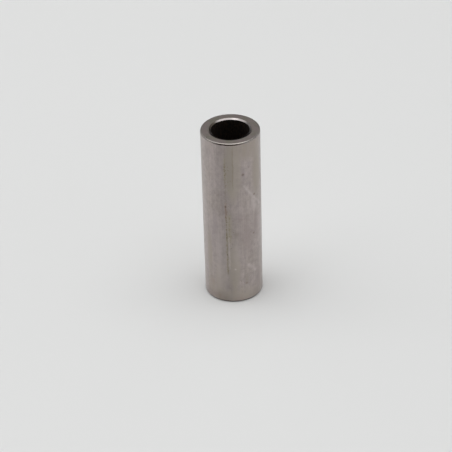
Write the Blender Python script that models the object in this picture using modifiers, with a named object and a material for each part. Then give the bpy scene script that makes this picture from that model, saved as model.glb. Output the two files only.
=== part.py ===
"""A gudgeon pin, the hollow steel pin that joins a piston to its connecting rod.

The real pin is one piece: bored tube, faced and chamfered at both ends, hardened, and ground
outside. So it is one object here, a closed section of the tube's wall turned once about the Z
axis. The pin stands on its lower end. The origin is the middle of that end and +Z runs up the
axis. Lengths are in metres.
"""

import math

import bpy

# Sizes of the pin
PIN_DIAMETER = 0.020  # ground running surface, held in the piston bosses and the small end
PIN_LENGTH = 0.064  # from end face to end face
WALL_THICKNESS = 0.0035  # round a plain bore right through, here 13 mm, that lightens the pin
EDGE_RADIUS = 0.0006  # rounded edge between each end face and the running surface
CHAMFER_WIDTH = 0.0006  # of the chamfer at each mouth of the bore, seen from the end
CHAMFER_ANGLE = math.radians(30)  # slope of the chamfer from the end face

# Fineness of the faceted surface
TURN_STEPS = 120  # facets round the pin
EDGE_STEPS = 6  # facets across a rounded edge
SHARP_ANGLE = math.radians(30)  # corners steeper than this stay crisp when shaded
MERGE_DISTANCE = 0.000001  # joins the last step of the turn to the first

# Bare ground steel, with the faint warm tint that it has indoors
STEEL_COLOUR = (0.44, 0.41, 0.39, 1.0)
STEEL_ROUGHNESS = 0.35


def clear_scene():
    """Removes whatever the file holds, so that the pin is alone in it."""
    for old in list(bpy.data.objects):
        bpy.data.objects.remove(old)


def ground_steel():
    """Bare ground steel."""
    material = bpy.data.materials.new("ground_steel")
    material.use_nodes = True
    shader = material.node_tree.nodes["Principled BSDF"]
    shader.inputs["Base Color"].default_value = STEEL_COLOUR
    shader.inputs["Metallic"].default_value = 1.0
    shader.inputs["Roughness"].default_value = STEEL_ROUGHNESS
    material.diffuse_color = STEEL_COLOUR
    material.metallic = 1.0
    material.roughness = STEEL_ROUGHNESS
    return material


def rounded_edge(centre_r, centre_z, start, end):
    """Points of the edge rounding in the section, from one angle to the other about a centre."""
    turns = [start + (end - start) * step / EDGE_STEPS for step in range(EDGE_STEPS + 1)]
    return [
        (centre_r + EDGE_RADIUS * math.cos(turn), centre_z + EDGE_RADIUS * math.sin(turn))
        for turn in turns
    ]


def wall_section():
    """The outline of the tube's wall on one side of the axis, as (radius, height) points.

    It runs down the outside from the top face to the bottom face, and back up the bore.
    """
    pin_radius = PIN_DIAMETER / 2
    bore_radius = pin_radius - WALL_THICKNESS
    mouth_radius = bore_radius + CHAMFER_WIDTH
    chamfer_depth = CHAMFER_WIDTH * math.tan(CHAMFER_ANGLE)
    edge_centre_r = pin_radius - EDGE_RADIUS

    top_edge = rounded_edge(edge_centre_r, PIN_LENGTH - EDGE_RADIUS, math.pi / 2, 0)
    bottom_edge = rounded_edge(edge_centre_r, EDGE_RADIUS, 0, -math.pi / 2)
    bottom_chamfer = [(mouth_radius, 0), (bore_radius, chamfer_depth)]
    top_chamfer = [(bore_radius, PIN_LENGTH - chamfer_depth), (mouth_radius, PIN_LENGTH)]
    return top_edge + bottom_edge + bottom_chamfer + top_chamfer


def turned(name, section, material, collection):
    """An object turned about the Z axis from a closed section."""
    points = [(radius, 0, height) for radius, height in section]
    edges = [(i, (i + 1) % len(points)) for i in range(len(points))]
    mesh = bpy.data.meshes.new(name)
    mesh.from_pydata(points, edges, [])
    mesh.materials.append(material)
    piece = bpy.data.objects.new(name, mesh)
    collection.objects.link(piece)

    screw = piece.modifiers.new("turn", "SCREW")
    screw.axis = "Z"
    screw.angle = math.tau
    screw.steps = TURN_STEPS
    screw.render_steps = TURN_STEPS
    screw.use_merge_vertices = True
    screw.merge_threshold = MERGE_DISTANCE

    bpy.context.view_layer.objects.active = piece
    bpy.ops.object.modifier_apply(modifier=screw.name)
    mesh.shade_smooth()
    mesh.set_sharp_from_angle(angle=SHARP_ANGLE)
    return piece


def main():
    clear_scene()
    collection = bpy.data.collections.new("gudgeon_pin")
    bpy.context.scene.collection.children.link(collection)
    turned("gudgeon_pin", wall_section(), ground_steel(), collection)


main()
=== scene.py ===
# %% [markdown]
# # A gudgeon pin in ground steel
#
# A gudgeon pin joins a piston to its connecting rod. It starts as a thick tube, is faced and
# chamfered at both ends, is hardened, and is then ground to size outside. This lesson takes the
# pin that CAD made and gives it the surfaces of the real one: a ground outside with the marks of
# oil, storage and handling, faced ends, bright chamfers, and a bore left black by the furnace.
#
# The CAD model comes first, as a fixed frame in metres. Everything here is fitted to it.

import bpy
import numpy as np
from mathutils import Matrix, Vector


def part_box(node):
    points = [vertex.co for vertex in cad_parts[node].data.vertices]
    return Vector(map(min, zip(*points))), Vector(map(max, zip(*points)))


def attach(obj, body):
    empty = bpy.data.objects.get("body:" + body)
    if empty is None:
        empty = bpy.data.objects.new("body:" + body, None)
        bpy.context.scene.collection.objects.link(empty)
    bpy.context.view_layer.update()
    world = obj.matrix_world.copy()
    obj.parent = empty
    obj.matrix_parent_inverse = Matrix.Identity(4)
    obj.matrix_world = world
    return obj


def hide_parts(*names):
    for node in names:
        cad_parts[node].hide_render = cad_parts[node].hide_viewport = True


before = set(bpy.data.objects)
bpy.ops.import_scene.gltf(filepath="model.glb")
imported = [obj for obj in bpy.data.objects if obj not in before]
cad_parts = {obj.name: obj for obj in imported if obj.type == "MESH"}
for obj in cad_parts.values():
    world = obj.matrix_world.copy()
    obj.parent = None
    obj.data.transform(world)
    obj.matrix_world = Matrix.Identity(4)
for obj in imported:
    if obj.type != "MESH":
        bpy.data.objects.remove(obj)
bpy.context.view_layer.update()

CAD_NODE = "gudgeon_pin"
MM = 0.001  # one millimetre in the scene's metres

# %% [markdown]
# ## The section of the wall
#
# Everything that a lathe and a grinder make is round, so one outline of the tube's wall holds the
# whole shape. Blender could turn it with a Screw modifier, or a cylinder could be cut and
# bevelled. Here the outline is worked out as arrays instead, because each run of it then knows
# which tool made it, and so which finish it gets.
#
# The overall sizes are read from the CAD node. The rest repeat the sizes that its wall was drawn
# with.

# %% Sizes
node_low, node_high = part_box(CAD_NODE)
PIN_RADIUS = (node_high[0] - node_low[0]) / 2
PIN_LENGTH = node_high[2] - node_low[2]
WALL_THICKNESS = 3.5 * MM
EDGE_RADIUS = 0.6 * MM  # rounding between an end face and the outside
CHAMFER_WIDTH = 0.6 * MM  # of the chamfer at each mouth of the bore, seen from the end
CHAMFER_ANGLE = np.radians(30)  # slope of the chamfer from the end face

BORE_RADIUS = PIN_RADIUS - WALL_THICKNESS
MOUTH_RADIUS = BORE_RADIUS + CHAMFER_WIDTH
CHAMFER_DEPTH = CHAMFER_WIDTH * np.tan(CHAMFER_ANGLE)
print("outside radius", round(PIN_RADIUS / MM, 3), "length", round(PIN_LENGTH / MM, 3), "mm")


# %% [markdown]
# A lathe only makes straight cuts and roundings in a section, so two helpers draw every run of
# it. Each gives back an array with one (radius, height) point to a row.


# %% Straight and round runs
def straight(start, end, steps):
    """Points along a straight run. A point is (1 - t) start + t end, with t from 0 to 1."""
    t = np.linspace(0, 1, steps + 1)[:, None]
    return (1 - t) * np.array(start) + t * np.array(end)


def round_run(centre, radius, start, end, steps):
    """Points along an arc. A point is centre + radius (cos a, sin a), with a from start to end
    in degrees."""
    a = np.radians(np.linspace(start, end, steps + 1))
    return np.array(centre) + radius * np.stack([np.cos(a), np.sin(a)], axis=1)


print("a straight run in two steps:", straight((0, 0), (2, 4), 2).tolist())

# %% [markdown]
# The outline goes once round the wall: down the outside, in over the lower face, up the bore and
# out over the upper face. Long flat runs are cut into steps too, so that no quad gets very thin.

# %% The outline, run by run
FINISHES = ["ground", "faced", "cut", "bore", "edge"]
GROUND, FACED, CUT, BORE, EDGE = range(len(FINISHES))

EDGE_STEPS = 12
GROUND_STEPS = 64
FACE_STEPS = 10
CHAMFER_STEPS = 4
BORE_STEPS = 44

edge_centre = PIN_RADIUS - EDGE_RADIUS
top = PIN_LENGTH
upper_rounding = round_run((edge_centre, top - EDGE_RADIUS), EDGE_RADIUS, 90, 0, EDGE_STEPS)
lower_rounding = round_run((edge_centre, EDGE_RADIUS), EDGE_RADIUS, 0, -90, EDGE_STEPS)
upper_mouth = (MOUTH_RADIUS, top)
lower_mouth = (MOUTH_RADIUS, 0)
bore_top = (BORE_RADIUS, top - CHAMFER_DEPTH)
bore_foot = (BORE_RADIUS, CHAMFER_DEPTH)

runs = [
    (EDGE, upper_rounding),
    (GROUND, straight(upper_rounding[-1], lower_rounding[0], GROUND_STEPS)),
    (EDGE, lower_rounding),
    (FACED, straight((edge_centre, 0), lower_mouth, FACE_STEPS)),
    (CUT, straight(lower_mouth, bore_foot, CHAMFER_STEPS)),
    (BORE, straight(bore_foot, bore_top, BORE_STEPS)),
    (CUT, straight(bore_top, upper_mouth, CHAMFER_STEPS)),
    (FACED, straight(upper_mouth, (edge_centre, top), FACE_STEPS)),
]
outline = np.concatenate([points[:-1] for _, points in runs])
outline_finish = np.concatenate([np.full(len(points) - 1, finish) for finish, points in runs])
print("points in the outline:", len(outline))

# %% [markdown]
# ## Turning the outline
#
# The outline is carried round the axis as one grid of points: one row for each point of the
# outline, one column for each step of the turn. The grid closes on itself both ways, so the wall
# is one watertight skin with no seam and no pole.

# %% Turn it
TURN_STEPS = 540


def turned(outline, steps):
    """Carries an outline of (r, z) points round the Z axis.

    The point at distance r and height z, turned by angle a from the front, lies at
    (r sin a, -r cos a, z).
    """
    a = np.arange(steps) * (2 * np.pi / steps)
    r, z = outline[:, :1], outline[:, 1:]
    return np.stack([r * np.sin(a), -r * np.cos(a), z + 0 * a], axis=-1)


def closed_quads(rows, columns):
    """Corner numbers of the quads between each row and the next, closed both ways. The point in
    row i and column j has the number i * columns + j."""
    row, column = np.meshgrid(np.arange(rows), np.arange(columns), indexing="ij")
    next_row, next_column = (row + 1) % rows, (column + 1) % columns
    corners = [(row, column), (next_row, column), (next_row, next_column), (row, next_column)]
    return np.stack([i * columns + j for i, j in corners], axis=-1).reshape(-1, 4)


grid = turned(outline, TURN_STEPS)
quads = closed_quads(len(outline), TURN_STEPS)
print("grid of points:", grid.shape[:2], "quads:", len(quads))

# %% [markdown]
# ## Knocks on the rounded edges
#
# A hardened pin doesn't dent easily, but its edges meet other pins in the box and the drift that
# fits it. They carry small bright nicks, a few hundredths of a millimetre deep. A bump map would
# shade them without changing the outline, so here they are real hollows: each point near a nick
# moves towards the middle of the rounding that it lies on.

# %% Nick the edges
NICK_SEED = 11
NICKS_PER_EDGE = 14
NICK_DEPTH = (0.01 * MM, 0.05 * MM)
NICK_LENGTH = (0.12 * MM, 0.4 * MM)  # round the pin, from the nick's middle to its end
NICK_PLACE = (0.25, 0.85)  # of its middle, as a share of the way over the rounding
NICK_WIDTH = (0.08, 0.22)  # over the rounding, as a share of it


def nick_depths(rng, rows, columns):
    """How deep each point of one rounding is nicked.

    Each nick is a bell: depth * exp(-(round/length)^2 - (across/width)^2), where round is the way
    round the pin from its middle and across is the way over the rounding, as a share of it. Where
    nicks meet, the deepest one counts.
    """
    middle = rng.uniform(0, 2 * np.pi, NICKS_PER_EDGE)[:, None, None]
    over = rng.uniform(*NICK_PLACE, NICKS_PER_EDGE)[:, None, None]
    width = rng.uniform(*NICK_WIDTH, NICKS_PER_EDGE)[:, None, None]
    depth = rng.uniform(*NICK_DEPTH, NICKS_PER_EDGE)[:, None, None]
    length = rng.uniform(*NICK_LENGTH, NICKS_PER_EDGE)[:, None, None]
    share = np.linspace(0, 1, rows)[None, :, None]
    turn = (np.arange(columns) * 2 * np.pi / columns)[None, None, :]
    way_round = PIN_RADIUS * ((turn - middle + np.pi) % (2 * np.pi) - np.pi)
    bells = depth * np.exp(-((way_round / length) ** 2) - ((share - over) / width) ** 2)
    return bells.max(axis=0)


def nicked(grid, first_row, rounding, centre_z, depths):
    """Moves the points of one rounding towards the circle of its centres."""
    rows = slice(first_row, first_row + len(rounding))
    points = grid[rows]
    outward = points / np.linalg.norm(points[..., :2], axis=-1, keepdims=True)
    centre = np.stack(
        [edge_centre * outward[..., 0], edge_centre * outward[..., 1], 0 * depths + centre_z], -1
    )
    inward = (centre - points) / EDGE_RADIUS
    fade = np.sin(np.linspace(0, np.pi, len(rounding)))[:, None]  # no step where the runs meet
    moved = grid.copy()
    moved[rows] += inward * (depths * fade)[..., None]
    return moved, depths * fade


rng = np.random.default_rng(NICK_SEED)
run_lengths = [len(points) - 1 for _, points in runs]
lower_row = run_lengths[0] + run_lengths[1]
knock = np.zeros(grid.shape[:2])
for first_row, rounding, centre_z in (
    (0, upper_rounding, top - EDGE_RADIUS),
    (lower_row, lower_rounding, EDGE_RADIUS),
):
    depths = nick_depths(rng, len(rounding), TURN_STEPS)
    grid, depths = nicked(grid, first_row, rounding, centre_z, depths)
    knock[first_row : first_row + len(rounding)] = depths / NICK_DEPTH[1]
print("deepest nick in mm:", round(knock.max() * NICK_DEPTH[1] / MM, 3))

# %% [markdown]
# ## The mesh
#
# The arrays go into the mesh whole, with foreach_set. Each quad keeps the number of its finish,
# and each point keeps how far it was knocked in, for the material of the edges to read.
#
# A closed skin should hold a positive volume. The signed cones from the origin to its faces add
# up to it, and a negative sum would mean that the faces point inwards.


# %% Put the arrays in a mesh
def mesh_piece(name, points, quads, finishes):
    """An object from arrays of points, quads and each quad's material number."""
    mesh = bpy.data.meshes.new(name)
    mesh.vertices.add(len(points))
    mesh.vertices.foreach_set("co", points.ravel())
    mesh.loops.add(quads.size)
    mesh.loops.foreach_set("vertex_index", quads.ravel())
    mesh.polygons.add(len(quads))
    mesh.polygons.foreach_set("loop_start", np.arange(0, quads.size, 4))
    mesh.polygons.foreach_set("material_index", finishes)
    mesh.update(calc_edges=True)
    mesh.validate()
    piece = bpy.data.objects.new(name, mesh)
    bpy.context.scene.collection.objects.link(piece)
    return piece


def volume_inside(points, quads):
    """The sum of the cones from the origin to each triangle (a, b, c): a . (b x c) / 6."""
    a, b, c, d = (points[quads[:, i]] for i in range(4))
    halves = np.einsum("ij,ij->i", a, np.cross(b, c)) + np.einsum("ij,ij->i", a, np.cross(c, d))
    return halves.sum() / 6


flat_points = grid.reshape(-1, 3)
pin = mesh_piece("pin", flat_points, quads, np.repeat(outline_finish, TURN_STEPS))
knock_layer = pin.data.attributes.new("knock", "FLOAT", "POINT")
knock_layer.data.foreach_set("value", knock.ravel())
print("volume in mm3:", round(volume_inside(flat_points, quads) / MM**3, 1))
print("triangles:", 2 * len(quads))

# %% [markdown]
# Smooth shading hides the facets of the turn, but it would also blur the corners that the lathe
# left at each chamfer. Edges that bend by more than a limit are marked sharp and stay crisp.

# %% Keep the chamfer's corners crisp
CREASE_ANGLE = np.radians(25)
pin.data.shade_smooth()
pin.data.set_sharp_from_angle(angle=CREASE_ANGLE)
crisp = np.zeros(len(pin.data.edges), dtype=bool)
pin.data.edges.foreach_get("use_edge_sharp", crisp)
print("crisp edges:", int(crisp.sum()))

# %% [markdown]
# ## A few words for nodes
#
# The finishes are built from shader nodes. These helpers keep the recipes short: feed sets or
# links a socket, and each of the others adds one node and gives back what comes out of it.


# %% Helpers for nodes
def feed(tree, value, socket):
    """Links a socket from another one, or sets it to a plain value."""
    if isinstance(value, bpy.types.NodeSocket):
        tree.links.new(value, socket)
    else:
        socket.default_value = value


def maths(tree, operation, *values, clamp=False):
    """A Math node."""
    node = tree.nodes.new("ShaderNodeMath")
    node.operation = operation
    node.use_clamp = clamp
    for value, socket in zip(values, node.inputs):
        feed(tree, value, socket)
    return node.outputs[0]


def vector_maths(tree, operation, *values, result="Vector"):
    """A Vector Math node."""
    node = tree.nodes.new("ShaderNodeVectorMath")
    node.operation = operation
    for value, socket in zip(values, node.inputs):
        feed(tree, value, socket)
    return node.outputs[result]


def eased(tree, value, low, high, to_low=0.0, to_high=1.0):
    """A Map Range node that eases from to_low to to_high while value goes from low to high."""
    node = tree.nodes.new("ShaderNodeMapRange")
    node.interpolation_type = "SMOOTHSTEP"
    for item, name in zip(
        (value, low, high, to_low, to_high), ("Value", "From Min", "From Max", "To Min", "To Max")
    ):
        feed(tree, item, node.inputs[name])
    return node.outputs["Result"]


def blended(tree, share, first, second, how="MIX"):
    """A Mix node for colours. share is how much of the second one there is."""
    node = tree.nodes.new("ShaderNodeMix")
    node.data_type = "RGBA"
    node.blend_type = how
    feed(tree, share, node.inputs["Factor"])
    feed(tree, first, node.inputs["A"])
    feed(tree, second, node.inputs["B"])
    return node.outputs["Result"]


print("helpers ready")


# %% [markdown]
# Grain, spots and scratches are needed by several finishes. Each becomes a node group, built once
# and placed in every material with its own values, so a recipe is only ever mended in one place.

# %% Helpers for groups and materials
NUMBER, VECTOR = "NodeSocketFloat", "NodeSocketVector"


def new_group(name, inputs, outputs):
    """A shader node group with named sockets, each input with its default."""
    group = bpy.data.node_groups.new(name, "ShaderNodeTree")
    for label, default in inputs.items():
        kind = VECTOR if isinstance(default, tuple) else NUMBER
        socket = group.interface.new_socket(label, in_out="INPUT", socket_type=kind)
        socket.default_value = default
    for label, kind in outputs.items():
        group.interface.new_socket(label, in_out="OUTPUT", socket_type=kind)
    given = group.nodes.new("NodeGroupInput").outputs
    result = group.nodes.new("NodeGroupOutput").inputs
    return group, given, result


def placed(tree, group, values):
    """Places a group in a tree and gives back its outputs."""
    node = tree.nodes.new("ShaderNodeGroup")
    node.node_tree = group
    for name, value in values.items():
        feed(tree, value, node.inputs[name])
    return node.outputs


def new_material(name):
    """A material with nothing in it yet but its Principled BSDF, and the object's coordinates."""
    material = bpy.data.materials.new(name)
    material.use_nodes = True
    tree = material.node_tree
    place = tree.nodes.new("ShaderNodeTexCoord").outputs["Object"]
    return material, tree, tree.nodes["Principled BSDF"].inputs, place


def roughen(tree, shader, height, strength, depth):
    """Tilts the normals as a height that varies from 0 to 1 over this depth would."""
    bump = tree.nodes.new("ShaderNodeBump")
    bump.inputs["Strength"].default_value = strength
    bump.inputs["Distance"].default_value = depth
    feed(tree, height, bump.inputs["Height"])
    feed(tree, bump.outputs[0], shader["Normal"])


print("sockets for numbers and vectors:", NUMBER, VECTOR)

# %% [markdown]
# ## Where a point is on the pin
#
# Marks on a pin follow its skin: they run round it, along it, or out from the middle of its ends.
# This group turns the object's coordinates into those three ways, in millimetres. Around is
# measured on the running surface, from the front and towards +X. A UV map could hold the same
# numbers, but the skin of a plain cylinder is so easy to unroll that no map is needed.

# %% Group: place on the pin
place_on_pin, given, result = new_group(
    "place on the pin",
    {"Object": (0.0, 0.0, 0.0)},
    {"Around": NUMBER, "Up": NUMBER, "Out": NUMBER, "Millimetres": VECTOR},
)
tree = place_on_pin
in_mm = vector_maths(tree, "SCALE", given["Object"])
in_mm.node.inputs["Scale"].default_value = 1 / MM
split = tree.nodes.new("ShaderNodeSeparateXYZ")
feed(tree, in_mm, split.inputs[0])
x, y, z = split.outputs
turn = maths(tree, "ARCTAN2", x, maths(tree, "MULTIPLY", y, -1.0))
squares = maths(tree, "ADD", maths(tree, "POWER", x, 2.0), maths(tree, "POWER", y, 2.0))
feed(tree, maths(tree, "MULTIPLY", turn, PIN_RADIUS / MM), result["Around"])
feed(tree, z, result["Up"])
feed(tree, maths(tree, "SQRT", squares), result["Out"])
feed(tree, in_mm, result["Millimetres"])
print("group:", place_on_pin.name)

# %% [markdown]
# ## Grain
#
# Grinding, turning and drawing all leave fine lines that are long one way and narrow the other.
# One group serves them all: noise whose grain has its own size along each axis, in millimetres.
# Round lines come from a grain that is thin in Z, lengthwise streaks from one that is long in Z,
# and rings on a face from a grain that is fed the distance from the axis.

# %% Group: stretched grain
stretched_grain, given, result = new_group(
    "stretched grain",
    {"Place": (0.0, 0.0, 0.0), "Grain": (1.0, 1.0, 1.0), "Roughness": 0.6, "Shift": 0.0},
    {"Grain": NUMBER},
)
tree = stretched_grain
noise = tree.nodes.new("ShaderNodeTexNoise")
noise.noise_dimensions = "4D"
noise.inputs["Scale"].default_value = 1.0
noise.inputs["Detail"].default_value = 4.0
feed(tree, vector_maths(tree, "DIVIDE", given["Place"], given["Grain"]), noise.inputs["Vector"])
feed(tree, given["Shift"], noise.inputs["W"])
feed(tree, given["Roughness"], noise.inputs["Roughness"])
feed(tree, noise.outputs[0], result["Grain"])


def grain(tree, place, size, shift=0.0, roughness=0.6):
    """Noise of one grain size. Each shift gives another part of the noise."""
    values = {"Place": place, "Grain": size, "Shift": shift, "Roughness": roughness}
    return placed(tree, stretched_grain, values)["Grain"]


def rings_round_axis(tree, out, width):
    """Fine rings, from a grain that is fed the distance from the axis."""
    from_axis = tree.nodes.new("ShaderNodeCombineXYZ")
    feed(tree, out, from_axis.inputs["X"])
    return grain(tree, from_axis.outputs[0], (width, 1.0, 1.0), roughness=0.7)


print("group:", stretched_grain.name)

# %% [markdown]
# ## Spots, scratches and specks
#
# Wear that has a place of its own is drawn by distance, not painted, so it stays sharp at any
# size. A spot fades out from its middle over an oval: its distance is the square root of
# (sideways / half width)^2 + (upwards / half height)^2. Hardness is the share of the spot that is
# fully covered.

# %% Group: spot
spot, given, result = new_group(
    "spot",
    {"Around": 0.0, "Up": 0.0, "Middle Around": 0.0, "Middle Up": 0.0, "Half Width": 1.0,
     "Half Height": 1.0, "Hardness": 0.0},
    {"Mask": NUMBER},
)
tree = spot
off_sideways = maths(tree, "SUBTRACT", given["Around"], given["Middle Around"])
off_upwards = maths(tree, "SUBTRACT", given["Up"], given["Middle Up"])
sideways = maths(tree, "DIVIDE", off_sideways, given["Half Width"])
upwards = maths(tree, "DIVIDE", off_upwards, given["Half Height"])
squares = maths(tree, "ADD", maths(tree, "POWER", sideways, 2.0), maths(tree, "POWER", upwards, 2.0))
distance = maths(tree, "SQRT", squares)
feed(tree, eased(tree, distance, 1.0, given["Hardness"]), result["Mask"])
print("group:", spot.name)

# %% [markdown]
# A scratch fades out from a line between two points of the unrolled skin. How far along the line
# the nearest point lies is the dot product of (here - start) and (end - start), divided by the
# square of the line's length, and held between 0 and 1.

# %% Group: scratch
scratch, given, result = new_group(
    "scratch",
    {"Around": 0.0, "Up": 0.0, "Start": (0.0, 0.0, 0.0), "End": (0.0, 1.0, 0.0), "Half Width": 0.2},
    {"Mask": NUMBER, "Along": NUMBER},
)
tree = scratch
here = tree.nodes.new("ShaderNodeCombineXYZ")
feed(tree, given["Around"], here.inputs["X"])
feed(tree, given["Up"], here.inputs["Y"])
from_start = vector_maths(tree, "SUBTRACT", here.outputs[0], given["Start"])
whole = vector_maths(tree, "SUBTRACT", given["End"], given["Start"])
along = maths(
    tree,
    "DIVIDE",
    vector_maths(tree, "DOT_PRODUCT", from_start, whole, result="Value"),
    vector_maths(tree, "DOT_PRODUCT", whole, whole, result="Value"),
    clamp=True,
)
nearest = vector_maths(tree, "SCALE", whole)
feed(tree, along, nearest.node.inputs["Scale"])
away = vector_maths(tree, "DISTANCE", from_start, nearest, result="Value")
feed(tree, eased(tree, away, given["Half Width"], 0.0), result["Mask"])
feed(tree, along, result["Along"])
print("group:", scratch.name)

# %% [markdown]
# Specks are too many to place by hand. A Voronoi texture scatters them: each of its cells holds
# one speck, and only a share of the cells keep theirs.

# %% Group: specks
specks, given, result = new_group(
    "specks",
    {"Place": (0.0, 0.0, 0.0), "Spacing": 1.0, "Size": 0.2, "Share": 0.3},
    {"Mask": NUMBER},
)
tree = specks
cells = tree.nodes.new("ShaderNodeTexVoronoi")
cells.inputs["Scale"].default_value = 1.0
spaced = vector_maths(tree, "SCALE", given["Place"])
feed(tree, maths(tree, "DIVIDE", 1.0, given["Spacing"]), spaced.node.inputs["Scale"])
feed(tree, spaced, cells.inputs["Vector"])
tint = tree.nodes.new("ShaderNodeSeparateColor")
feed(tree, cells.outputs["Color"], tint.inputs[0])
kept = maths(tree, "LESS_THAN", tint.outputs[0], given["Share"])
grown = maths(tree, "MULTIPLY", given["Size"], eased(tree, tint.outputs[1], 0.0, 1.0, 0.4, 1.0))
dot = eased(tree, cells.outputs["Distance"], grown, 0.0)
feed(tree, maths(tree, "MULTIPLY", kept, dot), result["Mask"])
print("group:", specks.name)

# %% [markdown]
# ## The ground outside
#
# Centreless grinding leaves bare steel of one even colour. Handling and storage change it:
# lengthwise streaks from sliding in a rack, cloudy tarnish from fingers, and a fine mottle. A
# scanned picture of steel would repeat and has marks of its own, so the colour is mixed from
# grains of four sizes. Each one darkens or brightens the steel by less than a tenth.

# %% Material: ground steel, streaks and tarnish
FRESH_STEEL = (0.462, 0.402, 0.387, 1)
TARNISHED_STEEL = (0.41, 0.362, 0.318, 1)

ground_steel, tree, shader, place = new_material("ground steel")
here = placed(tree, place_on_pin, {"Object": place})
around, up, mm = here["Around"], here["Up"], here["Millimetres"]

clouds = grain(tree, mm, (6.0, 6.0, 9.0), shift=3.0)
mottling = grain(tree, mm, (1.3, 1.3, 1.6), shift=1.0)
fine_streaks = grain(tree, mm, (0.4, 0.4, 14.0), roughness=0.5)
wide_streaks = grain(tree, mm, (1.7, 1.7, 32.0), shift=2.0, roughness=0.5)
grinding_lines = grain(tree, mm, (9.0, 9.0, 0.12), roughness=0.7)

grit = grain(tree, mm, (0.4, 0.4, 0.45), shift=14.0)
shade = 1.0
for pattern, depth in ((fine_streaks, 0.05), (wide_streaks, 0.06), (mottling, 0.085), (grit, 0.05)):
    shade = maths(tree, "MULTIPLY", shade, eased(tree, pattern, 0.3, 0.7, 1 - depth, 1 + depth))
colour = blended(tree, eased(tree, clouds, 0.38, 0.7, 0.0, 0.4), FRESH_STEEL, TARNISHED_STEEL)
colour = blended(tree, 1.0, colour, shade, "MULTIPLY")
print("steel:", FRESH_STEEL[:3], "tarnished:", TARNISHED_STEEL[:3])


# %% [markdown]
# Oil has run down the pin and dried to a thin tan film, in long stretches with soft borders, and
# it gathered in a brown pool at the foot. Between the stretches the steel is duller in places, or
# wiped bright. Two long bright stretches down both sides, where the skin turns away, are painted
# sheen. Each is a spot with its own tint. The streaks and the mottle thin them out unevenly, as
# real oil dries. The marks on the back are of the same kinds, at places made up for this pin.

# %% Material: ground steel, stains
def stain(tree, colour, tint, cover, middle, half_size, hardness=0.0):
    """Colours an oval spot of the skin. Middle and half size are (around, up) in mm."""
    values = {
        "Around": around,
        "Up": up,
        "Middle Around": middle[0],
        "Middle Up": middle[1],
        "Half Width": half_size[0],
        "Half Height": half_size[1],
        "Hardness": hardness,
    }
    mask = placed(tree, spot, values)["Mask"]
    return blended(tree, maths(tree, "MULTIPLY", mask, cover, clamp=True), colour, tint)


TAN_FILM = (0.457, 0.404, 0.353, 1)
SIDE_FILM = (0.415, 0.36, 0.312, 1)
OLD_OIL = (0.345, 0.303, 0.256, 1)
OIL_BROWN = (0.27, 0.212, 0.163, 1)
FADED_RUST = (0.43, 0.345, 0.31, 1)
DULL_MAUVE = (0.36, 0.31, 0.31, 1)
DULL_ROSE = (0.37, 0.308, 0.292, 1)
WIPED_STEEL_AND_SHEEN = (0.56, 0.50, 0.49, 1)

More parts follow.
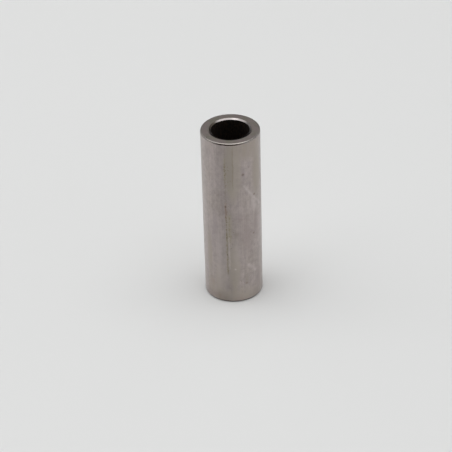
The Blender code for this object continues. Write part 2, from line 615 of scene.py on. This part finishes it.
# Each stain: tint, strength, middle (around, up), half size, hardness
LARGE_STAINS_AND_SHEEN = [
    # Dried oil, from the top to the base
    (TAN_FILM, 0.8, (0.4, 53.0), (3.6, 14.0), 0.6),
    (SIDE_FILM, 0.7, (6.5, 61.5), (8.0, 6.0), 0.4),
    (SIDE_FILM, 0.8, (10.0, 51.0), (3.2, 13.0), 0.4),
    (OLD_OIL, 0.25, (-0.8, 55.0), (1.9, 14.0), 0.5),
    (TAN_FILM, 0.6, (-1.2, 31.0), (1.5, 9.0), 0.5),
    (TAN_FILM, 0.8, (0.3, 14.0), (2.6, 13.0), 0.5),
    (SIDE_FILM, 0.85, (-9.3, 19.0), (1.7, 12.0), 0.4),
    (TAN_FILM, 0.8, (-4.6, 9.0), (2.6, 9.0), 0.5),
    (TAN_FILM, 0.7, (1.0, 1.0), (12.0, 7.0), 0.3),
    (OLD_OIL, 0.4, (4.6, 8.8), (1.6, 3.2), 0.1),
    (OLD_OIL, 0.4, (1.2, 28.0), (1.7, 2.4), 0.1),
    (OIL_BROWN, 0.5, (-4.6, 1.8), (4.2, 4.2), 0.0),
    (SIDE_FILM, 0.8, (-8.8, 6.0), (2.8, 5.0), 0.3),
    (FADED_RUST, 0.4, (2.0, 1.2), (3.6, 2.6), 0.0),
    (FADED_RUST, 0.5, (-8.4, 7.3), (1.8, 1.7), 0.0),
    (OIL_BROWN, 0.15, (8.0, 1.2), (2.8, 2.8), 0.0),
    (OIL_BROWN, 0.4, (-9.4, 1.8), (4.2, 3.4), 0.0),
    # Duller and brighter stretches
    (DULL_MAUVE, 0.2, (-3.4, 46.0), (1.3, 20.0), 0.2),
    (DULL_MAUVE, 0.35, (-2.5, 6.5), (1.0, 3.4), 0.0),
    (DULL_MAUVE, 0.15, (-0.8, 5.2), (0.5, 5.4), 0.3),
    (DULL_ROSE, 0.65, (9.2, 30.0), (2.8, 8.5), 0.0),
    (DULL_ROSE, 0.55, (10.4, 8.0), (3.0, 6.5), 0.0),
    (DULL_MAUVE, 0.35, (-7.6, 26.0), (2.2, 10.0), 0.0),
    (DULL_ROSE, 0.55, (4.8, 27.0), (4.6, 11.0), 0.0),
    (DULL_MAUVE, 0.5, (-6.2, 31.0), (1.9, 9.0), 0.0),
    (DULL_MAUVE, 0.45, (4.1, 52.0), (1.3, 5.0), 0.0),
    (DULL_MAUVE, 0.3, (-9.0, 59.0), (2.0, 4.5), 0.0),
    (DULL_ROSE, 0.35, (2.6, 34.5), (3.4, 3.6), 0.0),
    (WIPED_STEEL_AND_SHEEN, 0.3, (-4.1, 21.0), (0.9, 4.0), 0.0),
    (WIPED_STEEL_AND_SHEEN, 0.35, (7.4, 38.2), (3.4, 4.2), 0.0),
    (WIPED_STEEL_AND_SHEEN, 0.45, (-3.8, 17.0), (3.4, 20.0), 0.3),
    (WIPED_STEEL_AND_SHEEN, 0.25, (1.2, 20.0), (2.0, 7.0), 0.2),
    # Painted sheen: these two long bright stretches run down both sides of the pin
    (WIPED_STEEL_AND_SHEEN, 0.2, (-11.5, 34.0), (2.6, 34.0), 0.0),
    (WIPED_STEEL_AND_SHEEN, 0.2, (11.5, 28.0), (2.4, 20.0), 0.0),
    # The back
    (SIDE_FILM, 0.7, (19.5, 38.0), (2.6, 27.0), 0.4),
    (TAN_FILM, 0.7, (-23.0, 20.0), (3.4, 21.0), 0.5),
    (TAN_FILM, 0.6, (-21.0, 60.0), (7.0, 7.0), 0.4),
    (TAN_FILM, 0.6, (24.0, 1.0), (7.0, 7.0), 0.3),
    (TAN_FILM, 0.6, (-24.0, 1.0), (6.5, 6.0), 0.3),
    (OIL_BROWN, 0.35, (21.5, 1.5), (5.0, 3.8), 0.0),
    (DULL_MAUVE, 0.35, (26.5, 42.0), (3.2, 15.0), 0.0),
    (WIPED_STEEL_AND_SHEEN, 0.25, (-18.5, 36.0), (2.8, 11.0), 0.0),
]
in_streaks = eased(tree, wide_streaks, 0.3, 0.6, 0.7, 1.25)
unevenness = maths(tree, "MULTIPLY", in_streaks, eased(tree, mottling, 0.3, 0.6, 0.8, 1.1))
for tint, strength, middle, half_size, hardness in LARGE_STAINS_AND_SHEEN:
    cover = maths(tree, "MULTIPLY", unevenness, strength)
    colour = stain(tree, colour, tint, cover, middle, half_size, hardness)
print("large stains:", len(LARGE_STAINS_AND_SHEEN))

# %% [markdown]
# A pin that is stored against its neighbour rusts where they touch: along a line, in small dots of
# olive and rust-brown crust. Each stretch is a scratch, broken up by a grain that is short in Z and
# pushed a little from side to side by another, so that it wanders as a real contact line does.
# Finer dots pepper the skin beside the main row, with pale flecks of rubbed steel among them.

# %% Material: ground steel, the rows of dots
LIGHT_RUST = (0.10, 0.05, 0.022, 1)
RUSTY_CRUST = (0.17, 0.075, 0.035, 1)
OLIVE_CRUST = (0.17, 0.135, 0.055, 1)
OLIVE_BLEED = (0.44, 0.39, 0.29, 1)
RUSTY_BLEED = (0.46, 0.345, 0.265, 1)
RUBBED_STEEL = (0.66, 0.60, 0.59, 1)
wander = eased(tree, grain(tree, mm, (1.6, 1.6, 1.8), shift=12.0), 0.2, 0.8, -0.2, 0.2)
wandering = maths(tree, "ADD", around, wander)
dashes = eased(tree, grain(tree, mm, (3.0, 3.0, 0.6), shift=5.0, roughness=0.8), 0.44, 0.6, 0.1, 1.0)
nearly_whole = eased(tree, dashes, 0.1, 1.0, 0.65, 1.0)

# Each stretch: how it is broken up, from (around, up), to (around, up), half width, tint, strength
DOTTED_STRETCHES = [
    # What has bled out of the crust
    (nearly_whole, (-2.3, 59.0), (-2.3, 49.0), 0.9, OLIVE_BLEED, 0.35),
    (nearly_whole, (-2.2, 41.5), (-2.1, 34.0), 0.9, RUSTY_BLEED, 0.4),
    (nearly_whole, (-2.1, 29.0), (-2.0, 10.5), 0.9, OLIVE_BLEED, 0.55),
    (nearly_whole, (-1.3, 36.5), (-1.1, 24.0), 1.2, OLIVE_BLEED, 0.5),
    # The crust
    (nearly_whole, (-2.1, 64.0), (-2.3, 42.0), 0.26, OLIVE_CRUST, 0.22),
    (nearly_whole, (0.6, 64.5), (0.3, 45.0), 0.35, OLIVE_CRUST, 0.25),
    (dashes, (-2.3, 57.0), (-2.2, 50.5), 0.36, OLIVE_CRUST, 0.85),
    (dashes, (-2.2, 50.0), (-2.2, 41.0), 0.34, OLIVE_CRUST, 0.3),
    (nearly_whole, (-2.2, 40.3), (-2.15, 33.5), 0.3, RUSTY_CRUST, 0.48),
    (dashes, (-2.15, 36.0), (-2.05, 25.0), 0.34, OLIVE_CRUST, 0.85),
    (nearly_whole, (-2.1, 27.0), (-2.0, 19.0), 0.3, OLIVE_CRUST, 0.55),
    (nearly_whole, (-2.0, 20.5), (-1.9, 11.0), 0.3, OLIVE_CRUST, 0.5),
    (dashes, (-1.1, 36.0), (-1.0, 20.0), 0.36, OLIVE_CRUST, 0.22),
    (dashes, (2.7, 9.4), (2.7, 3.0), 0.25, OLIVE_CRUST, 0.4),
    (dashes, (-24.5, 59.0), (-24.3, 35.0), 0.36, OLIVE_CRUST, 0.7),
]


def line_on_skin(start, end, half_width):
    """The scratch group between two places (around, up), in mm."""
    values = {
        "Around": wandering,
        "Up": up,
        "Start": (*start, 0.0),
        "End": (*end, 0.0),
        "Half Width": half_width,
    }
    return placed(tree, scratch, values)


for pattern, start, end, half_width, tint, strength in DOTTED_STRETCHES:
    line = line_on_skin(start, end, half_width)
    ends = maths(
        tree, "MULTIPLY", eased(tree, line["Along"], 0.0, 0.08), eased(tree, line["Along"], 1.0, 0.85)
    )
    mask = maths(tree, "MULTIPLY", maths(tree, "MULTIPLY", line["Mask"], pattern), ends)
    colour = blended(tree, maths(tree, "MULTIPLY", mask, strength), colour, tint)

pepper = placed(tree, specks, {"Place": mm, "Spacing": 0.65, "Size": 0.42, "Share": 0.5})["Mask"]
flecks = placed(tree, specks, {"Place": mm, "Spacing": 0.6, "Size": 0.42, "Share": 0.5})["Mask"]

# Each patch of specks: pattern, tint, strength, middle (around, up), half size
PEPPERED = [
    (pepper, OLIVE_CRUST, 0.55, (-1.3, 47.0), (1.7, 14.0)),
    (pepper, OLIVE_CRUST, 0.9, (-0.8, 29.0), (1.6, 10.0)),
    (pepper, OLIVE_CRUST, 0.4, (6.0, 27.0), (3.5, 7.0)),
    (flecks, RUBBED_STEEL, 0.6, (-0.8, 29.0), (1.6, 10.0)),
    (flecks, RUBBED_STEEL, 0.35, (-1.3, 47.0), (1.7, 14.0)),
]
for pattern, tint, strength, middle, half_size in PEPPERED:
    cover = maths(tree, "MULTIPLY", pattern, strength)
    colour = stain(tree, colour, tint, cover, middle, half_size, 0.5)
print("stretches of dots:", len(DOTTED_STRETCHES))

# %% [markdown]
# Single dots of rust stand apart from the row, and pale rubs cross the skin where something hard
# slid over it. A rub polishes the steel as well as brightening it, so its mask is kept for the
# gloss.

# %% Material: ground steel, dots and rubs
# Each dot: strength, middle (around, up), half size
DARK_DOTS = [
    (0.55, (3.95, 51.6), (0.75, 0.75)),
    (0.6, (8.46, 42.3), (0.75, 0.7)),
    (0.3, (6.2, 53.9), (0.55, 0.5)),
    (0.5, (7.9, 26.9), (0.65, 0.6)),
    (0.3, (4.6, 7.3), (0.9, 0.75)),
    (0.7, (-2.24, 39.4), (0.5, 0.6)),
    (0.55, (-2.1, 26.8), (0.4, 0.45)),
    (0.4, (-2.0, 19.9), (0.4, 0.45)),
    (0.5, (22.0, 50.0), (0.7, 0.7)),
    (0.45, (-19.5, 12.5), (0.7, 0.65)),
    (0.4, (26.5, 27.0), (0.6, 0.6)),
]
for strength, middle, half_size in DARK_DOTS:
    colour = stain(tree, colour, LIGHT_RUST, strength, middle, half_size)
colour = stain(tree, colour, RUBBED_STEEL, 0.7, (0.64, 13.8), (0.55, 0.55), 0.2)

# Each rub: from (around, up), to (around, up), half width, strength
RUBS = [
    ((4.3, 47.0), (8.2, 41.0), 0.9, 0.4),
    ((6.0, 44.2), (11.6, 37.0), 0.75, 0.35),
    ((8.0, 40.4), (8.6, 36.8), 1.8, 0.22),
    ((5.6, 14.7), (8.7, 11.4), 1.2, 0.38),
    ((-1.3, 27.0), (-1.2, 14.0), 0.32, 0.4),
    ((-19.5, 50.0), (-24.5, 43.5), 0.8, 0.35),
    ((24.5, 20.5), (20.5, 12.0), 0.9, 0.35),
]
rubbed = 0.0
for start, end, half_width, strength in RUBS:
    mask = maths(tree, "MULTIPLY", line_on_skin(start, end, half_width)["Mask"], strength)
    rubbed = maths(tree, "MAXIMUM", rubbed, mask)
rubbed = maths(tree, "MULTIPLY", rubbed, eased(tree, mottling, 0.3, 0.6, 0.7, 1.05))
colour = blended(tree, rubbed, colour, RUBBED_STEEL)

stray = placed(tree, specks, {"Place": mm, "Spacing": 1.6, "Size": 0.2, "Share": 0.2})["Mask"]
colour = blended(tree, maths(tree, "MULTIPLY", stray, 0.22), colour, LIGHT_RUST)
feed(tree, colour, shader["Base Color"])
print("dark dots:", len(DARK_DOTS), "rubs:", len(RUBS))

# %% [markdown]
# The grinding lines run round the pin and are too fine to see one by one. They spread a
# reflection along the pin, so the shader is anisotropic, with its tangent round the Z axis. A bump
# alone could do it only in a very close view. The oil that still lies over the steel is a thin
# coat: like any clear film, it reflects most where the skin turns away.

# %% Material: ground steel, its gloss
shader["Metallic"].default_value = 1.0
shader["Anisotropic"].default_value = 0.8
shader["Anisotropic Rotation"].default_value = 0.25
shader["Coat Roughness"].default_value = 0.3

tangent = tree.nodes.new("ShaderNodeTangent")
tangent.direction_type = "RADIAL"
tangent.axis = "Z"
feed(tree, tangent.outputs[0], shader["Tangent"])

gloss = maths(
    tree, "SUBTRACT", eased(tree, clouds, 0.3, 0.7, 0.46, 0.54), maths(tree, "MULTIPLY", rubbed, 0.15)
)
feed(tree, gloss, shader["Roughness"])
feed(tree, eased(tree, mottling, 0.25, 0.75, 0.45, 0.75), shader["Coat Weight"])

lines = maths(tree, "ADD", grinding_lines, maths(tree, "MULTIPLY", fine_streaks, 0.6))
roughen(tree, shader, lines, strength=0.25, depth=0.004 * MM)
print("finish of the outside:", ground_steel.name)

# %% [markdown]
# ## The faced ends
#
# The ends are faced on the lathe and then rest on anything, so they carry faint rings round the
# axis and a mottle of old oil. The rings are a grain that is fed the distance from the axis, and
# the mottle is the same grain fed the place itself. Over the lip in front, a band of painted shade
# is black, so the hole looks a little nearer there than it is.

# %% Material: faced steel
FACED_STEEL = (0.435, 0.37, 0.355, 1)
STAINED_FACE = (0.345, 0.325, 0.272, 1)
SCALE_AND_SHADE_BLACK = (0.004, 0.0028, 0.0018, 1)

faced_steel, tree, shader, place = new_material("faced steel")
here = placed(tree, place_on_pin, {"Object": place})
mm, out = here["Millimetres"], here["Out"]

rings = rings_round_axis(tree, out, width=0.14)
stains = grain(tree, mm, (3.2, 3.2, 3.2), shift=7.0)
grit = grain(tree, mm, (0.5, 0.5, 0.5), shift=2.0)

near_mouth = eased(tree, out, MOUTH_RADIUS / MM + 0.9, MOUTH_RADIUS / MM, 0.0, 0.3)
stained = maths(tree, "ADD", eased(tree, stains, 0.42, 0.62, 0.0, 0.9), near_mouth, clamp=True)
colour = blended(tree, stained, FACED_STEEL, STAINED_FACE)
shade = maths(
    tree, "ADD", eased(tree, rings, 0.3, 0.7, 0.94, 1.05), eased(tree, grit, 0.3, 0.7, -0.05, 0.05)
)
colour = blended(tree, 1.0, colour, shade, "MULTIPLY")

# Painted shade: black over the lip in front, standing for the dark near edge of the hole
sides = tree.nodes.new("ShaderNodeSeparateXYZ")
feed(tree, mm, sides.inputs[0])
in_front = eased(tree, sides.outputs["Y"], 0.0, -4.0)
over_lip = eased(tree, out, MOUTH_RADIUS / MM + 0.42, MOUTH_RADIUS / MM + 0.26)
colour = blended(tree, maths(tree, "MULTIPLY", over_lip, in_front), colour, SCALE_AND_SHADE_BLACK)
feed(tree, colour, shader["Base Color"])
feed(tree, eased(tree, stains, 0.3, 0.7, 0.31, 0.4), shader["Roughness"])
shader["Metallic"].default_value = 1.0
roughen(tree, shader, rings, strength=0.3, depth=0.006 * MM)
print("finish of the ends:", faced_steel.name)

# %% [markdown]
# ## The chamfers at the mouths
#
# Each mouth was cut on the lathe after the bore, so its chamfer is bright steel with fine turned
# lines. Scale from the bore creeps a little way up it in front, and a run of old oil darkens its
# left part. The mask of the scale is the distance from the axis plus some noise, so its border is
# ragged.

# %% Material: cut steel
CUT_STEEL = (0.30, 0.275, 0.27, 1)
STAINED_CUT = (0.15, 0.125, 0.10, 1)

cut_steel, tree, shader, place = new_material("cut steel")
here = placed(tree, place_on_pin, {"Object": place})
mm, out, around = here["Millimetres"], here["Out"], here["Around"]

rings = rings_round_axis(tree, out, width=0.06)
ragged = grain(tree, mm, (0.8, 0.8, 0.8), shift=4.0)
stains = grain(tree, mm, (2.6, 2.6, 2.6), shift=9.0)

creep = maths(tree, "ADD", out, maths(tree, "MULTIPLY", ragged, -0.35))
scaled = eased(tree, creep, BORE_RADIUS / MM - 0.05, BORE_RADIUS / MM - 0.13)
in_front = maths(tree, "MULTIPLY", eased(tree, around, -15.0, -11.0), eased(tree, around, 24.0, 20.0))
scaled = maths(tree, "MULTIPLY", scaled, in_front)
oil_run = {"Around": around, "Middle Around": -18.5, "Half Width": 6.5, "Hardness": 0.5}
oil = placed(tree, spot, oil_run)["Mask"]
oil = maths(tree, "MAXIMUM", oil, eased(tree, stains, 0.5, 0.7, 0.0, 0.06))
colour = blended(tree, oil, CUT_STEEL, STAINED_CUT)
colour = blended(tree, scaled, colour, SCALE_AND_SHADE_BLACK)
feed(tree, colour, shader["Base Color"])
feed(tree, eased(tree, scaled, 0.0, 1.0, 1.0, 0.0), shader["Metallic"])
gloss = eased(tree, stains, 0.3, 0.7, 0.18, 0.28)
gloss = maths(tree, "ADD", gloss, maths(tree, "MULTIPLY", scaled, 0.5))
feed(tree, gloss, shader["Roughness"])
roughen(tree, shader, rings, strength=0.3, depth=0.006 * MM)
print("finish of the chamfers:", cut_steel.name)

# %% [markdown]
# ## The bore
#
# The bore is never ground. It keeps the black scale of the hardening furnace over the lines of
# the drawn tube, with specks where the scale has flaked to brown. Scale isn't a metal, so its
# Metallic is 0 and it has almost no colour of its own.

# %% Material: furnace scale
FLAKED_SCALE = (0.03, 0.017, 0.009, 1)

furnace_scale, tree, shader, place = new_material("furnace scale")
here = placed(tree, place_on_pin, {"Object": place})
mm = here["Millimetres"]
crust = grain(tree, mm, (0.7, 0.7, 1.4), roughness=0.75)
drawn = grain(tree, mm, (0.25, 0.25, 18.0), shift=6.0)
flakes = placed(tree, specks, {"Place": mm, "Spacing": 1.1, "Size": 0.3, "Share": 0.3})["Mask"]

flaked = maths(tree, "MULTIPLY", flakes, 0.6)
brown = maths(tree, "ADD", flaked, eased(tree, crust, 0.4, 0.7), clamp=True)
feed(tree, blended(tree, brown, SCALE_AND_SHADE_BLACK, FLAKED_SCALE), shader["Base Color"])
feed(tree, eased(tree, crust, 0.3, 0.7, 0.85, 0.7), shader["Roughness"])
shader["Metallic"].default_value = 0.0
shader["Specular IOR Level"].default_value = 0.25
rough_tube = maths(tree, "ADD", crust, maths(tree, "MULTIPLY", drawn, 0.5))
roughen(tree, shader, rough_tube, strength=0.6, depth=0.02 * MM)
print("finish of the bore:", furnace_scale.name)

# %% [markdown]
# ## The rounded edges
#
# The edges are rolled over with a stone or in a tumbler after grinding. They are smoother than
# the outside, so they mirror the room: a bright line under the lamps, and a dark one below it
# where they face the dark front of the room. Old scale and a painted dark reflection darken the
# outer part of the rounding in front of the upper end. Old scale and a painted contact shadow
# darken all of the lower one, which stands on the board. A darker patch a little left of the front
# is a painted dim reflection on both rims. The nicks show fresh metal.

# %% Material: edge steel
EDGE_STEEL = (0.305, 0.28, 0.266, 1)
NICKED_STEEL = (0.42, 0.385, 0.365, 1)
# Dark brown of old scale, also painted on the rims as shade
SCALE_AND_PAINTED_SHADE = (0.055, 0.03, 0.022, 1)
PAINTED_DIM_REFLECTION = (0.235, 0.21, 0.195, 1)

edge_steel, tree, shader, place = new_material("edge steel")
here = placed(tree, place_on_pin, {"Object": place})
mm, around, up = here["Millimetres"], here["Around"], here["Up"]
stone_marks = grain(tree, mm, (1.1, 1.1, 0.15))
dulled = grain(tree, mm, (2.2, 2.2, 2.2), shift=8.0)

knocked = tree.nodes.new("ShaderNodeAttribute")
knocked.attribute_name = "knock"
fresh = eased(tree, knocked.outputs["Fac"], 0.1, 0.6)
colour = blended(tree, eased(tree, dulled, 0.35, 0.7, 0.0, 0.35), EDGE_STEEL, TARNISHED_STEEL)
# Painted dim reflection: a darker patch a little left of the front, on both rims
dim_reflection_spot = {"Around": around, "Middle Around": -2.6, "Half Width": 3.0}
colour = blended(tree, placed(tree, spot, dim_reflection_spot)["Mask"], colour, PAINTED_DIM_REFLECTION)
colour = blended(tree, fresh, colour, NICKED_STEEL)

# Painted shade: old scale with a painted dark reflection in front of the upper rim, and old scale
# with a painted contact shadow all round the lower rounding
wavy = maths(tree, "ADD", up, eased(tree, dulled, 0.2, 0.8, -0.08, 0.08))
outer_part = eased(tree, wavy, PIN_LENGTH / MM - 0.15, PIN_LENGTH / MM - 0.29)
in_front = maths(tree, "MULTIPLY", eased(tree, around, -7.0, -2.8), eased(tree, around, 5.8, 1.0))
painted_contact_shadow = eased(tree, up, 0.55, 0.2, 0.0, 0.9)
scale_and_painted_shade = maths(tree, "MULTIPLY", outer_part, in_front)
scale_and_painted_shade = maths(tree, "MULTIPLY", scale_and_painted_shade, eased(tree, up, 1.0, 2.0, 0.0, 0.9))
scale_and_painted_shade = maths(tree, "MAXIMUM", scale_and_painted_shade, painted_contact_shadow)
colour = blended(tree, scale_and_painted_shade, colour, SCALE_AND_PAINTED_SHADE)
feed(tree, colour, shader["Base Color"])
off_front = eased(tree, maths(tree, "ABSOLUTE", around), 8.0, 13.0, 0.0, 0.25)
gloss = maths(tree, "ADD", eased(tree, dulled, 0.3, 0.7, 0.16, 0.24), off_front)
feed(tree, gloss, shader["Roughness"])
shader["Metallic"].default_value = 1.0
roughen(tree, shader, stone_marks, strength=0.2, depth=0.004 * MM)
print("finish of the edges:", edge_steel.name)

# %% [markdown]
# ## Dressing the pin
#
# The materials go into the slots in the order of the finish numbers. The pin then takes the CAD
# node's place: it rides on the same body.

# %% Fit the finishes
for material in (ground_steel, faced_steel, cut_steel, furnace_scale, edge_steel):
    pin.data.materials.append(material)
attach(pin, "root")
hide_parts(CAD_NODE)
print("finishes:", dict(zip(FINISHES, [slot.name for slot in pin.data.materials])))

# %% [markdown]
# ## The camera
#
# The camera stands well back and looks down on the pin by a little more than a third of a right
# angle, so that the upper end shows as an oval. Its place was found by fitting the pin's own
# outline, rim and bore to the photograph. It looks a little away from the pin, so that the pin
# stands right of and above the middle, and it is rolled by less than two degrees.

# %% Camera sizes
IMAGE_SIZE = 452
FOCAL_PIXELS = 1805.5
CAMERA_DISTANCE = 61.707 * PIN_RADIUS
CAMERA_ELEVATION = np.radians(33.36)
CAMERA_ROLL = np.radians(1.485)
PIN_CENTRE_PIXELS = (6.18, -16.78)  # from the picture's middle, to the right and downwards
SENSOR_WIDTH = 36.0


def placed_object(name, data, right, up, forward, place):
    """An object for a camera or a lamp, from its own axes: it looks along forward."""
    thing = bpy.data.objects.new(name, data)
    columns = np.column_stack([right, up, -np.array(forward), place])
    thing.matrix_world = Matrix(columns.tolist() + [[0, 0, 0, 1]])
    bpy.context.scene.collection.objects.link(thing)
    return thing


print("focal length in mm:", round(FOCAL_PIXELS / IMAGE_SIZE * SENSOR_WIDTH, 1))


# %% Camera axes
def turn_to(direction):
    """The turn that takes the forward axis to a direction: first up or down, then sideways."""
    x, y, z = direction / np.linalg.norm(direction)
    pitch, yaw = np.arcsin(y), np.arctan2(x, z)
    up_down = np.array(
        [[1, 0, 0], [0, np.cos(pitch), np.sin(pitch)], [0, -np.sin(pitch), np.cos(pitch)]]
    )
    sideways = np.array(
        [[np.cos(yaw), 0, np.sin(yaw)], [0, 1, 0], [-np.sin(yaw), 0, np.cos(yaw)]]
    )
    return sideways @ up_down


back = np.array([0, -np.cos(CAMERA_ELEVATION), np.sin(CAMERA_ELEVATION)])
right = np.array([1.0, 0, 0])
level_axes = np.stack([right, np.cross(right, -back), -back])
c, s = np.cos(CAMERA_ROLL), np.sin(CAMERA_ROLL)
roll = np.array([[c, -s, 0], [s, c, 0], [0, 0, 1]])
aim = turn_to(np.array([PIN_CENTRE_PIXELS[0], -PIN_CENTRE_PIXELS[1], FOCAL_PIXELS]))

camera_data = bpy.data.cameras.new("camera")
camera_data.sensor_width = SENSOR_WIDTH
camera_data.lens = FOCAL_PIXELS / IMAGE_SIZE * SENSOR_WIDTH
camera_place = np.array([0, 0, PIN_LENGTH / 2]) + CAMERA_DISTANCE * back
camera = placed_object("camera", camera_data, *(aim @ roll @ level_axes), camera_place)
bpy.context.scene.camera = camera
print("camera at", np.round(camera_place, 3).tolist())

# %% [markdown]
# ## The floor
#
# The pin stands on a pale matt board. It is wide enough to fill the picture all round from the
# camera's height, while a level view looks past it into the room. It is stage, not part of the pin.

# %% Floor
FLOOR_HALF = 6.0  # metres from the pin to each border
FLOOR_COLOUR = (0.80, 0.805, 0.80, 1)
FLOOR_ROUGHNESS = 0.9
board = bpy.data.meshes.new("floor")
corners = np.array([(-1, -1, 0), (1, -1, 0), (1, 1, 0), (-1, 1, 0)]) * FLOOR_HALF
board.from_pydata(corners.tolist(), [], [(0, 1, 2, 3)])
floor = bpy.data.objects.new("floor", board)
bpy.context.scene.collection.objects.link(floor)
white_board, _, shader, _ = new_material("white board")
shader["Base Color"].default_value = FLOOR_COLOUR
shader["Roughness"].default_value = FLOOR_ROUGHNESS
board.materials.append(white_board)
print("floor reaches", FLOOR_HALF, "m each way")

# %% [markdown]
# ## The light
#
# Bright metal shows its surroundings, so the lamps are shaped for what the pin mirrors. Three wide
# softboxes make one canopy: overhead, high on the left, and a dim one high at the back. They light
# the board and draw the bright lines on the rims. White walls stand at both sides and brighten the
# edges of the pin. The front stays open and dark, because the camera looks in there, and that is
# what draws the dark lines under the bright rims.


# %% Softboxes
def softbox(name, turn, height, distance, side, brightness):
    """A square lamp that faces the pin.

    Turn is the angle from the front towards +X, and height the angle above the board, in degrees.
    At brightness 1 it looks as bright as a white surface under full light, so its power is
    brightness * pi * side^2.
    """
    turn, height = np.radians(turn), np.radians(height)
    outward = np.array(
        [np.sin(turn) * np.cos(height), -np.cos(turn) * np.cos(height), np.sin(height)]
    )
    data = bpy.data.lights.new(name, "AREA")
    data.shape = "SQUARE"
    data.size = side
    data.energy = brightness * np.pi * side**2
    right = np.cross(-outward, [0, 0, 1.0])
    right /= np.linalg.norm(right)
    return placed_object(name, data, right, np.cross(right, -outward), -outward, distance * outward)


# Each softbox: turn and height in degrees, distance and side in metres, brightness
SOFTBOXES = {
    "overhead": (60, 83, 2.0, 1.9, 1.6),
    "high left": (-83, 59, 2.2, 2.16, 1.16),
    "high back": (180, 62, 2.4, 3.0, 0.47),
}
for name, (turn, height, distance, side, brightness) in SOFTBOXES.items():
    softbox(name, turn, height, distance, side, brightness)
print("softboxes:", list(SOFTBOXES))

# %% [markdown]
# The white walls are part of the world, not lamps, because their light fades out so gently. Each
# is brightest in one direction and eases off with the cosine of the angle from it, which is the
# dot product of the two directions.

# %% The room
# Each wall: its brightest direction, the cosine at which it ends, and its light at its brightest
WALLS = {
    "right": ((0.98, -0.18, 0.0), -0.07, 0.66),
    "left": ((-0.935, 0.355, 0.02), 0.53, 0.7),
}
world = bpy.data.worlds.new("room")
world.use_nodes = True
tree = world.node_tree
direction = tree.nodes.new("ShaderNodeTexCoord").outputs["Generated"]
light = 0.0
for brightest, edge, strength in WALLS.values():
    nearness = vector_maths(tree, "DOT_PRODUCT", direction, brightest, result="Value")
    light = maths(tree, "ADD", light, eased(tree, nearness, edge, 1.0, 0.0, strength))
feed(tree, light, tree.nodes["Background"].inputs["Color"])
bpy.context.scene.world = world
bpy.context.scene.view_settings.view_transform = "Standard"
print("white walls:", list(WALLS))
